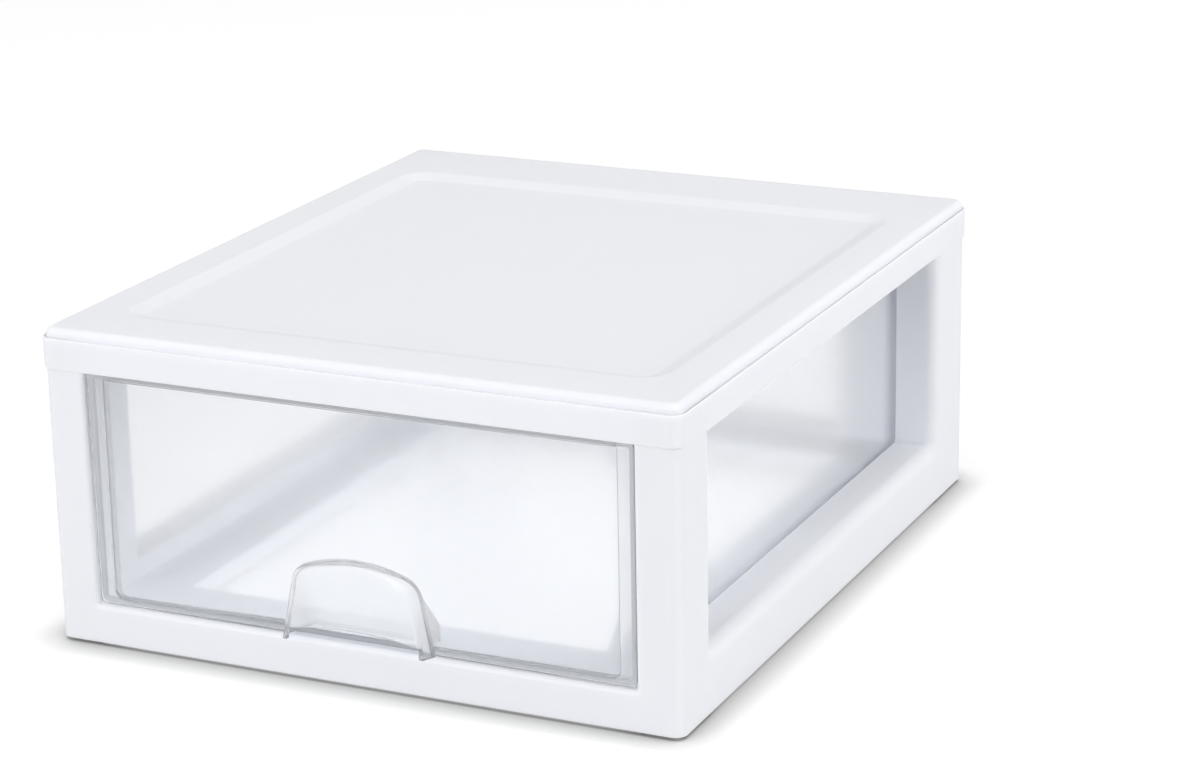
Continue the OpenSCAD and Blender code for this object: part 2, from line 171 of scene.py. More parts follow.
class Solid:
    """A closed mesh that others are joined to or cut from."""

    def __init__(self, name: str, mesh: bpy.types.Mesh) -> None:
        """Wraps a mesh in an object of the scene."""
        self.obj = bpy.data.objects.new(name, mesh)
        bpy.context.scene.collection.objects.link(self.obj)

    @classmethod
    def loft(cls, name: str, rings: list[Ring]) -> "Solid":
        """A closed solid whose skin runs from the first ring to the last.

        Args:
            name: name of the object.
            rings: closed outlines with the same number of points each.

        Returns:
            The solid, with its faces pointing outwards.
        """
        bm = bmesh.new()
        rows = [[bm.verts.new(p) for p in ring] for ring in rings]
        count = len(rows[0])
        for low, high in zip(rows, rows[1:]):
            for i in range(count):
                j = (i + 1) % count
                bm.faces.new((low[i], low[j], high[j], high[i]))
        bm.faces.new(rows[0][::-1])
        bm.faces.new(rows[-1])
        bmesh.ops.remove_doubles(bm, verts=bm.verts, dist=SAME_POINT)
        bmesh.ops.recalc_face_normals(bm, faces=bm.faces)
        mesh = bpy.data.meshes.new(name)
        bm.to_mesh(mesh)
        bm.free()
        return cls(name, mesh)

    @classmethod
    def block(cls, name: str, low: Point, high: Point) -> "Solid":
        """A plain block, for cutting and joining.

        Args:
            name: name of the object.
            low: its lowest corner.
            high: its highest corner.

        Returns:
            The block.
        """
        corners = Rect(low[0], low[1], high[0], high[1]).corners()
        return cls.loft(name, [[(x, y, z) for x, y in corners] for z in (low[2], high[2])])

    def apply(self) -> "Solid":
        """Turns the modified shape into a plain mesh.

        Returns:
            This solid.
        """
        graph = bpy.context.evaluated_depsgraph_get()
        mesh = bpy.data.meshes.new_from_object(self.obj.evaluated_get(graph))
        self.obj.modifiers.clear()
        old, self.obj.data = self.obj.data, mesh
        mesh.name = self.obj.name
        bpy.data.meshes.remove(old)
        return self

    def combine(self, other: "Solid", op: Op) -> "Solid":
        """Joins another solid to this one or cuts it away, and uses the other one up.

        Args:
            other: the other solid.
            op: whether it is joined or cut away.

        Returns:
            This solid.
        """
        step = self.obj.modifiers.new(op.name, "BOOLEAN")
        step.solver = "EXACT"
        step.operation = op.value
        step.object = other.obj
        self.apply()
        mesh = other.obj.data
        bpy.data.objects.remove(other.obj)
        bpy.data.meshes.remove(mesh)
        return self

    def join(self, *others: "Solid") -> "Solid":
        """Joins solids to this one.

        Args:
            others: the other solids, which are used up.

        Returns:
            This solid.
        """
        for other in others:
            self.combine(other, Op.JOIN)
        return self

    def cut(self, *others: "Solid") -> "Solid":
        """Cuts solids away from this one.

        Args:
            others: the other solids, which are used up.

        Returns:
            This solid.
        """
        for other in others:
            self.combine(other, Op.CUT)
        return self

    def outward(self) -> "Solid":
        """Merges doubled points, and turns every face outwards.

        Returns:
            This solid.
        """
        bm = bmesh.new()
        bm.from_mesh(self.obj.data)
        bmesh.ops.remove_doubles(bm, verts=bm.verts, dist=WELD)
        bmesh.ops.recalc_face_normals(bm, faces=bm.faces)
        bm.to_mesh(self.obj.data)
        bm.free()
        return self

    def dress(self, finish: bpy.types.Material) -> bpy.types.Object:
        """Gives the whole skin one finish.

        Args:
            finish: its material.

        Returns:
            The finished object.
        """
        self.obj.data.materials.clear()
        self.obj.data.materials.append(finish)
        for polygon in self.obj.data.polygons:
            polygon.material_index = 0
        return self.obj

    def tidy(self, level: float = 0.4) -> "Solid":
        """Merges doubled points, and joins faces that lie in one plane.

        Args:
            level: most degrees between two faces that count as one plane.

        Returns:
            This solid.
        """
        bm = bmesh.new()
        bm.from_mesh(self.obj.data)
        bmesh.ops.remove_doubles(bm, verts=bm.verts, dist=WELD)
        bmesh.ops.dissolve_limit(bm, angle_limit=math.radians(level), verts=bm.verts, edges=bm.edges)
        bm.to_mesh(self.obj.data)
        bm.free()
        return self

    def soften(self, width: float, steps: int = 2, angle: float = 40) -> "Solid":
        """Rounds the sharp edges and shades the skin smooth.

        Args:
            width: width of the rounding.
            steps: faces across it.
            angle: least angle in degrees between two faces whose edge is rounded.

        Returns:
            This solid.
        """
        edge = self.obj.modifiers.new("edge", "BEVEL")
        edge.width = width
        edge.segments = steps
        edge.limit_method = "ANGLE"
        edge.angle_limit = math.radians(angle)
        edge.miter_outer = "MITER_ARC"
        return self.shade()

    def shade(self) -> "Solid":
        """Smooth shading that keeps broad faces flat.

        Returns:
            This solid.
        """
        for polygon in self.obj.data.polygons:
            polygon.use_smooth = True
        weigh = self.obj.modifiers.new("weigh", "WEIGHTED_NORMAL")
        weigh.mode = "FACE_AREA"
        weigh.weight = 100
        weigh.keep_sharp = True
        return self.apply()


# ------------------------------------------------------------------ geometry-node recipes


class Recipe:
    """A Geometry Nodes tree with named inputs, run once to make a plain solid."""

    def __init__(self, name: str) -> None:
        """Starts an empty tree.

        Args:
            name: name of the tree, and of what it makes.
        """
        self.name = name
        self.tree = bpy.data.node_groups.new(name, "GeometryNodeTree")
        self.entry = self.tree.nodes.new("NodeGroupInput")
        self.values: dict[str, object] = {}

    def given(self, name: str, kind: str, value: object) -> Socket:
        """Adds a named input with its value.

        Args:
            name: name of the input.
            kind: its socket type.
            value: what the modifier gives it.

        Returns:
            The socket that carries the value into the tree.
        """
        socket = self.tree.interface.new_socket(name=name, in_out="INPUT", socket_type=kind)
        self.values[socket.identifier] = value
        return self.entry.outputs[name]

    def length(self, name: str, value: float) -> Socket:
        """A named length."""
        return self.given(name, "NodeSocketFloat", value)

    def vector(self, name: str, value: Point) -> Socket:
        """A named vector."""
        return self.given(name, "NodeSocketVector", value)

    def node(self, kind: str, sources: dict[str, object], mode: str = "") -> bpy.types.Node:
        """Adds a node.

        Args:
            kind: its type, without the words that all these types start with.
            sources: for each of its inputs, the socket that feeds it or a plain value.
            mode: the node's mode, where it isn't the usual one.

        Returns:
            The node.
        """
        node = self.tree.nodes.new("GeometryNode" + kind)
        if mode:
            node.mode = mode
        for name, source in sources.items():
            if isinstance(source, Socket):
                self.tree.links.new(source, node.inputs[name])
            else:
                node.inputs[name].default_value = source
        return node

    def run(self, shape: Socket, finish: bpy.types.Material) -> Solid:
        """Ends the tree, gives it its values and turns what it makes into a plain mesh.

        Args:
            shape: what the tree makes.
            finish: material of the result.

        Returns:
            The solid, with its faces pointing outwards.
        """
        real = self.node("RealizeInstances", {"Geometry": shape})
        skin = self.given("Finish", "NodeSocketMaterial", finish)
        dressed = self.node("SetMaterial", {"Geometry": real.outputs["Geometry"], "Material": skin})
        self.tree.interface.new_socket(name="Geometry", in_out="OUTPUT", socket_type="NodeSocketGeometry")
        end = self.tree.nodes.new("NodeGroupOutput")
        self.tree.links.new(dressed.outputs["Geometry"], end.inputs["Geometry"])
        solid = Solid(self.name, bpy.data.meshes.new(self.name))
        step = solid.obj.modifiers.new(self.name, "NODES")
        step.node_group = self.tree
        for identifier, value in self.values.items():
            step[identifier] = value
        return solid.apply().outward()


class Lie(Enum):
    """How a swept bead lies, as the turn of its path about the X axis."""

    LEVEL = 0.0
    UPRIGHT = math.pi / 2


BEAD_SOFTNESS = 0.6 * MM
PATH_CORNER_STEPS = 8
BEAD_CORNER_STEPS = 3


def swept_bead(
    name: str, path: Rect, corner: float, at: float, section: Rect, lie: Lie, finish: bpy.types.Material
) -> Solid:
    """A bead that follows a rounded rectangle.

    Args:
        name: name of the solid.
        path: rectangle that the middle of the bead follows, in plan or in elevation.
        corner: corner radius of the path.
        at: height of a level path, or the Y of an upright one.
        section: width and height of the bead, round its middle.
        lie: level or upright.
        finish: its material.

    Returns:
        The closed bead.
    """
    recipe = Recipe(name)
    line = recipe.node(
        "CurvePrimitiveQuadrilateral",
        {
            "Width": recipe.length("Path width", path.x1 - path.x0),
            "Height": recipe.length("Path depth", path.y1 - path.y0),
        },
    )
    bend = recipe.node(
        "FilletCurve",
        {
            "Curve": line.outputs["Curve"],
            "Count": PATH_CORNER_STEPS,
            "Radius": recipe.length("Corner", corner),
        },
        mode="POLY",
    )
    across, along = (path.x0 + path.x1) / 2, (path.y0 + path.y1) / 2
    middle = (across, along, at) if lie is Lie.LEVEL else (across, at, along)
    placed = recipe.node(
        "Transform",
        {
            "Geometry": bend.outputs["Curve"],
            "Translation": recipe.vector("Middle", middle),
            "Rotation": (lie.value, 0.0, 0.0),
        },
    )
    block = recipe.node(
        "CurvePrimitiveQuadrilateral",
        {
            "Width": recipe.length("Bead width", section.x1 - section.x0),
            "Height": recipe.length("Bead height", section.y1 - section.y0),
        },
    )
    round_block = recipe.node(
        "FilletCurve",
        {
            "Curve": block.outputs["Curve"],
            "Count": BEAD_CORNER_STEPS,
            "Radius": recipe.length("Softness", BEAD_SOFTNESS),
        },
        mode="POLY",
    )
    sweep = recipe.node(
        "CurveToMesh", {"Curve": placed.outputs["Geometry"], "Profile Curve": round_block.outputs["Curve"]}
    )
    return recipe.run(sweep.outputs["Mesh"], finish)


def block_row(
    name: str, low: Point, high: Point, step: Point, count: int, finish: bpy.types.Material
) -> Solid:
    """Equal blocks at equal steps.

    Args:
        name: name of the solid.
        low: lowest corner of the first block.
        high: its highest corner.
        step: way from each block to the next.
        count: how many there are.
        finish: their material.

    Returns:
        The blocks as one solid.
    """
    recipe = Recipe(name)
    size = tuple(b - a for a, b in zip(low, high))
    start = tuple((a + b) / 2 for a, b in zip(low, high))
    line = recipe.node(
        "MeshLine",
        {
            "Count": recipe.given("Count", "NodeSocketInt", count),
            "Start Location": recipe.vector("First", start),
            "Offset": recipe.vector("Step", step),
        },
    )
    cube = recipe.node("MeshCube", {"Size": recipe.vector("Size", size)})
    row = recipe.node(
        "InstanceOnPoints", {"Points": line.outputs["Mesh"], "Instance": cube.outputs["Mesh"]}
    )
    return recipe.run(row.outputs["Instances"], finish)


# ------------------------------------------------------------------ sizes


@dataclass(frozen=True)
class Sizes:
    """Where things lie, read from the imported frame.

    A name that ends in _x is half a width, and one that ends in _z is a height. Front and rear are
    places along Y. The bay is the space that the drawer slides in, and open_x and open_rear bound the
    open middle of the base.
    """

    cap_x: float
    cap_front: float
    cap_rear: float
    skirt_z: float
    top_z: float
    face_x: float
    face_front: float
    face_rear: float
    spigot_z: float
    rim_z: float
    bay_x: float
    window_front: float
    window_rear: float
    sill_z: float
    track_z: float
    panel_y: float
    rear_window_x: float
    rear_sill_z: float
    open_x: float
    open_rear: float
    runner_z: float
    tub_top: float
    tub_z: float
    tub_rear: float
    plate_y: float
    pull_front: float
    pull_top: float
    travel: float

    @classmethod
    def read(cls, joints: list[dict]) -> "Sizes":
        """Takes every size from the boxes of the CAD nodes and the drawer's joint.

        Args:
            joints: the frame's joints, of which the drawer's slide is the only one.

        Returns:
            The sizes.
        """
        cap_low, cap_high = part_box("top_cap")
        post_low, post_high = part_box("front_right_post")
        rear_low, rear_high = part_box("rear_right_post")
        panel_low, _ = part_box("rear_right_panel")
        _, sill_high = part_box("right_sill")
        _, rear_sill_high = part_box("rear_sill")
        rail_low, rail_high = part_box("right_rail")
        tub_low, tub_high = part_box("drawer_tub")
        pull_low, pull_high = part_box("drawer_pull")
        return cls(
            cap_x=cap_high[0],
            cap_front=cap_low[1],
            cap_rear=cap_high[1],
            skirt_z=cap_low[2],
            top_z=cap_high[2],
            face_x=post_high[0],
            face_front=post_low[1],
            face_rear=rear_high[1],
            spigot_z=post_high[2],
            rim_z=post_low[2],
            bay_x=post_low[0],
            window_front=post_high[1],
            window_rear=rear_low[1],
            sill_z=sill_high[2],
            track_z=rail_high[2],
            panel_y=panel_low[1],
            rear_window_x=panel_low[0],
            rear_sill_z=rear_sill_high[2],
            open_x=rail_low[0],
            open_rear=rail_high[1],
            runner_z=rail_low[2],
            tub_top=tub_high[2],
            tub_z=tub_low[2],
            tub_rear=tub_high[1],
            plate_y=tub_low[1],
            pull_front=pull_low[1],
            pull_top=pull_high[2],
            travel=joints[0]["range_m"][1],
        )


# ------------------------------------------------------------------ finishes


def new_material(name: str) -> tuple[bpy.types.Material, bpy.types.NodeTree]:
    """An empty node material.

    Args:
        name: its name.

    Returns:
        The material and its tree.
    """
    material = bpy.data.materials.new(name)
    material.use_nodes = True
    material.node_tree.nodes.clear()
    return material, material.node_tree


def link(tree: bpy.types.NodeTree, source: Socket, target: Socket) -> None:
    """Joins two sockets of a node tree."""
    tree.links.new(source, target)


def grey(level: float) -> tuple[float, float, float, float]:
    """An even grey, from 0 for black to 1 for white."""
    return (level, level, level, 1.0)


@dataclass(frozen=True)
class SatinPlastic:
    """Injection-moulded white plastic with a fine spark-eroded grain."""

    name: str = "satin_white"
    colour: tuple[float, float, float] = (0.855, 0.863, 0.9)
    shade: tuple[float, float, float] = (0.838, 0.848, 0.888)
    roughness: float = 0.6
    gloss: float = 0.3
    scatter_length: float = 1.6 * MM
    index: float = 1.49
    grain_scale: float = 2600.0
    grain_detail: float = 1.0
    grain_strength: float = 0.06
    grain_depth: float = 0.05 * MM
    flow_scale: float = 9.0
    flow_detail: float = 3.0
    roughness_spread: float = 0.05

    def build(self) -> bpy.types.Material:
        """Makes the material.

        Returns:
            The material.
        """
        material, tree = new_material(self.name)
        nodes = tree.nodes
        spot = nodes.new("ShaderNodeTexCoord")
        flow = nodes.new("ShaderNodeTexNoise")
        flow.inputs["Scale"].default_value = self.flow_scale
        flow.inputs["Detail"].default_value = self.flow_detail
        grain = nodes.new("ShaderNodeTexNoise")
        grain.inputs["Scale"].default_value = self.grain_scale
        grain.inputs["Detail"].default_value = self.grain_detail
        mix = nodes.new("ShaderNodeMix")
        mix.data_type = "RGBA"
        mix.inputs["A"].default_value = (*self.colour, 1.0)
        mix.inputs["B"].default_value = (*self.shade, 1.0)
        rough = nodes.new("ShaderNodeMapRange")
        rough.inputs["To Min"].default_value = self.roughness - self.roughness_spread
        rough.inputs["To Max"].default_value = self.roughness + self.roughness_spread
        bump = nodes.new("ShaderNodeBump")
        bump.inputs["Strength"].default_value = self.grain_strength
        bump.inputs["Distance"].default_value = self.grain_depth
        skin = nodes.new("ShaderNodeBsdfPrincipled")
        skin.subsurface_method = "RANDOM_WALK"
        skin.inputs["IOR"].default_value = self.index
        skin.inputs["Specular IOR Level"].default_value = self.gloss
        skin.inputs["Subsurface Weight"].default_value = 1.0
        skin.inputs["Subsurface Radius"].default_value = (1.0, 1.0, 1.0)
        skin.inputs["Subsurface Scale"].default_value = self.scatter_length
        out = nodes.new("ShaderNodeOutputMaterial")
        link(tree, spot.outputs["Object"], flow.inputs["Vector"])
        link(tree, spot.outputs["Object"], grain.inputs["Vector"])
        link(tree, flow.outputs["Fac"], mix.inputs["Factor"])
        link(tree, flow.outputs["Fac"], rough.inputs["Value"])
        link(tree, grain.outputs["Fac"], bump.inputs["Height"])
        link(tree, mix.outputs["Result"], skin.inputs["Base Color"])
        link(tree, rough.outputs["Result"], skin.inputs["Roughness"])
        link(tree, bump.outputs["Normal"], skin.inputs["Normal"])
        link(tree, skin.outputs["BSDF"], out.inputs["Surface"])
        return material


@dataclass(frozen=True)
class ClearPlastic:
    """Glossy clear plastic, cool where it is deep; lamps reach what is behind it."""

    name: str = "clear_drawer"
    tint: tuple[float, float, float] = (0.945, 0.95, 0.96)
    shadow_tint: tuple[float, float, float] = (0.98, 0.985, 0.99)
    clarity: float = 0.82
    roughness: float = 0.15
    index: float = 1.25
    body_tint: tuple[float, float, float] = (0.3, 0.45, 0.7)
    density: float = 3.0

    def build(self) -> bpy.types.Material:
        """Makes the material.

        Returns:
            The material.
        """
        material, tree = new_material(self.name)
        nodes = tree.nodes
        body = nodes.new("ShaderNodeBsdfPrincipled")
        body.inputs["Base Color"].default_value = (*self.tint, 1.0)
        body.inputs["Roughness"].default_value = self.roughness
        body.inputs["IOR"].default_value = self.index
        body.inputs["Transmission Weight"].default_value = self.clarity
        lamps = nodes.new("ShaderNodeBsdfTransparent")
        lamps.inputs["Color"].default_value = (*self.shadow_tint, 1.0)
        depth = nodes.new("ShaderNodeVolumeAbsorption")
        depth.inputs["Color"].default_value = (*self.body_tint, 1.0)
        depth.inputs["Density"].default_value = self.density
        path = nodes.new("ShaderNodeLightPath")
        mix = nodes.new("ShaderNodeMixShader")
        out = nodes.new("ShaderNodeOutputMaterial")
        link(tree, depth.outputs["Volume"], out.inputs["Volume"])
        link(tree, path.outputs["Is Shadow Ray"], mix.inputs["Fac"])
        link(tree, body.outputs["BSDF"], mix.inputs[1])
        link(tree, lamps.outputs["BSDF"], mix.inputs[2])
        link(tree, mix.outputs["Shader"], out.inputs["Surface"])
        return material


# The pull is milky, and the rib on the back of the drawer's front is a dark grey that is painted shade:
# the shadow line under the skirt and along the window's edges.
DRAWER_CLEAR = ClearPlastic()
PULL_MILKY = ClearPlastic(
    name="milky_pull", tint=(0.93, 0.935, 0.945), clarity=0.78, roughness=0.16, index=1.3
)
RIB_SHADE_GREY = ClearPlastic(
    name="frosted_rib", tint=(0.42, 0.435, 0.46), clarity=0.3, roughness=0.3, index=1.3
)


def seen_rays(tree: bpy.types.NodeTree) -> Socket:
    """A factor that is 1 for the rays that show a surface, directly, mirrored or through the drawer.

    Rays that only bring light back to a matte surface don't count, so what lies behind the drawer's
    walls is lit as plainly as the rest.

    Args:
        tree: tree of the material or the world that the factor is for.

    Returns:
        The socket that gives the factor.
    """
    path = tree.nodes.new("ShaderNodeLightPath")
    factor = path.outputs["Is Camera Ray"]
    for name in ("Is Glossy Ray", "Is Transmission Ray"):
        either = tree.nodes.new("ShaderNodeMath")
        either.operation = "MAXIMUM"
        link(tree, factor, either.inputs[0])
        link(tree, path.outputs[name], either.inputs[1])
        factor = either.outputs["Value"]
    half_a_bounce = 0.5
    direct = tree.nodes.new("ShaderNodeMath")
    direct.operation = "LESS_THAN"
    direct.inputs[1].default_value = half_a_bounce
    link(tree, path.outputs["Diffuse Depth"], direct.inputs[0])
    both = tree.nodes.new("ShaderNodeMath")
    both.operation = "MULTIPLY"
    link(tree, factor, both.inputs[0])
    link(tree, direct.outputs["Value"], both.inputs[1])
    return both.outputs["Value"]


@dataclass(frozen=True)
class TableFinish:
    """White table top: it reads white where light falls on it, keeps the shadow of the box, and has a
    painted contact shadow close to the box's foot.
    """

    name: str = "white_table"
    albedo: float = 0.67
    seen_albedo: float = 0.55
    glow: float = 0.57
    contact: float = 22.0 * MM

    def painted_contact_shadow(self, tree: bpy.types.NodeTree, white: float) -> Socket:
        """A painted contact shadow: a white that darkens close to where something stands on the table.

        Args:
            tree: tree of the material.
            white: its level out in the open.

        Returns:
            The socket that gives the colour.
        """
        shade = tree.nodes.new("ShaderNodeAmbientOcclusion")
        shade.inputs["Distance"].default_value = self.contact
        shade.inputs["Color"].default_value = grey(white)
        return shade.outputs["Color"]

    def build(self) -> bpy.types.Material:
        """Makes the material.

        Returns:
            The material.
        """
        material, tree = new_material(self.name)
        nodes = tree.nodes
        plain = nodes.new("ShaderNodeBsdfDiffuse")
        plain.inputs["Color"].default_value = grey(self.albedo)
        light = nodes.new("ShaderNodeEmission")
        matte = nodes.new("ShaderNodeBsdfDiffuse")
        seen = nodes.new("ShaderNodeAddShader")
        mix = nodes.new("ShaderNodeMixShader")
        out = nodes.new("ShaderNodeOutputMaterial")
        link(tree, self.painted_contact_shadow(tree, self.glow), light.inputs["Color"])
        link(tree, self.painted_contact_shadow(tree, self.seen_albedo), matte.inputs["Color"])
        link(tree, matte.outputs["BSDF"], seen.inputs[0])
        link(tree, light.outputs["Emission"], seen.inputs[1])
        link(tree, seen_rays(tree), mix.inputs["Fac"])
        link(tree, plain.outputs["BSDF"], mix.inputs[1])
        link(tree, seen.outputs["Shader"], mix.inputs[2])
        link(tree, mix.outputs["Shader"], out.inputs["Surface"])
        return material


@dataclass(frozen=True)
class PaneFinish:
    """Opal pane of a light table."""

    name: str = "opal_pane"
    albedo: float = 0.3
    glow: float = 0.9

    def build(self) -> bpy.types.Material:
        """Makes the material.

        Returns:
            The material.
        """
        material, tree = new_material(self.name)
        opal = tree.nodes.new("ShaderNodeBsdfPrincipled")
        opal.inputs["Base Color"].default_value = grey(self.albedo)
        opal.inputs["Emission Color"].default_value = grey(1.0)
        opal.inputs["Emission Strength"].default_value = self.glow
        out = tree.nodes.new("ShaderNodeOutputMaterial")
        link(tree, opal.outputs["BSDF"], out.inputs["Surface"])
        return material


# ------------------------------------------------------------------ the top cap


@dataclass
class TopCap:
    """Tray-shaped cap: a skirt, a raised plate with a rolled edge, and a shallow stacking recess."""

    sizes: Sizes
    skirt_wall: float = 2.4 * MM
    shell: float = 2.5 * MM
    corner: float = 7.7 * MM
    soft: float = 0.5 * MM
    # The plate rises above the skirt's top, set in behind a groove, and its edge is rolled.
    plate_height: float = 5.0 * MM
    plate_ledge: float = 2.0 * MM
    roll: float = 3.5 * MM
    groove_width: float = 1.5 * MM
    groove_depth: float = 2.0 * MM
    # The recess: its margins on the cap, its depth and slope, and the lip and cove of the slope.
    margin_side: float = 25.0 * MM
    margin_front: float = 35.0 * MM
    margin_rear: float = 55.0 * MM
    recess_depth: float = 3.0 * MM
    recess_slope: float = 12.0 * MM
    recess_corner: float = 18.0 * MM
    lip_width: float = 1.5 * MM
    lip_steps: int = 4
    cove_width: float = 3.5 * MM
    cove_steps: int = 6

    def outline(self, inset: float, z: float) -> Ring:
        """Level outline of the cap.

        Args:
            inset: how far it is moved in.
            z: its height.

        Returns:
            The outline.
        """
        s = self.sizes
        rect = Rect(-s.cap_x, s.cap_front, s.cap_x, s.cap_rear).grown(-inset)
        return level_ring(rect, self.corner - inset, z)

    @property
    def recess_rect(self) -> Rect:
        """The recess in plan, at its upper edge."""
        s = self.sizes
        return Rect(
            -s.cap_x + self.margin_side,
            s.cap_front + self.margin_front,
            s.cap_x - self.margin_side,
            s.cap_rear - self.margin_rear,
        )

    def mouth(self, inset: float, z: float) -> Ring:
        """Level outline of the recess, moved in by a length from its upper edge."""
        return level_ring(self.recess_rect.grown(-inset), self.recess_corner - inset, z)

    def outside(self) -> list[Ring]:
        """The outside of the cap: its skirt, the groove under its plate and the plate's rolled edge.

        Returns:
            Rings from the foot of the skirt up to the flat of the plate.
        """
        s = self.sizes
        ledge = s.top_z - self.plate_height
        rings = [self.outline(self.skirt_wall - self.soft, s.skirt_z)]
        rings += [
            self.outline(self.soft * (1 - b), s.skirt_z + self.soft * a)
            for a, b in quarter(EDGE_STEPS)
        ]
        rings += [self.outline(self.soft * a, ledge - self.soft * (1 - b)) for a, b in quarter(EDGE_STEPS)]
        rings += [
            self.outline(self.plate_ledge - self.groove_width, ledge),
            self.outline(self.plate_ledge - self.groove_width / 2, ledge - self.groove_depth),
            self.outline(self.plate_ledge, ledge - self.groove_depth),
        ]
        foot, roll = s.top_z - self.roll, self.roll
        rings += [
            self.outline(self.plate_ledge + roll * a, foot + roll * b)
            for a, b in quarter(ROUND_STEPS)
        ]
        return rings

    def recess(self) -> list[Ring]:
        """Rings over the lip of the recess, down its slope and through the cove at its foot.

        The lip and the cove are parabolas, which meet the slope and the level parts smoothly.

        Returns:
            Rings from the plate down to the floor of the recess.
        """
        lip, cove = self.lip_width, self.cove_width
        fall = self.recess_depth / (self.recess_slope - (lip + cove) / 2)
        drops = []
        for i in range(self.lip_steps + 1):
            reach = lip * i / self.lip_steps
            drops.append((reach, fall * reach**2 / (2 * lip)))
        for i in range(self.cove_steps + 1):
            rest = cove * (1 - i / self.cove_steps)
            drops.append((self.recess_slope - rest, self.recess_depth - fall * rest**2 / (2 * cove)))
        return [self.mouth(reach, self.sizes.top_z - drop) for reach, drop in drops]

    def inside(self) -> list[Ring]:
        """The underside of the cap.

        Returns:
            Rings from below the recess out and down to the foot of the skirt.
        """
        s = self.sizes
        floor = s.top_z - self.recess_depth - self.shell
        roof = s.top_z - self.shell
        lip = self.plate_ledge + self.shell
        return [
            self.mouth(-self.shell, floor),
            self.mouth(-self.shell, roof),
            self.outline(lip, roof),
            self.outline(lip, floor),
            self.outline(self.skirt_wall, floor),
            self.outline(self.skirt_wall, s.skirt_z + self.soft),
        ]

    def build(self, finish: bpy.types.Material) -> bpy.types.Object:
        """Makes the cap."""
        rings = self.inside() + self.outside() + self.recess()
        return Solid.loft("stacking_cap", rings).shade().dress(finish)


# ------------------------------------------------------------------ the lower frame


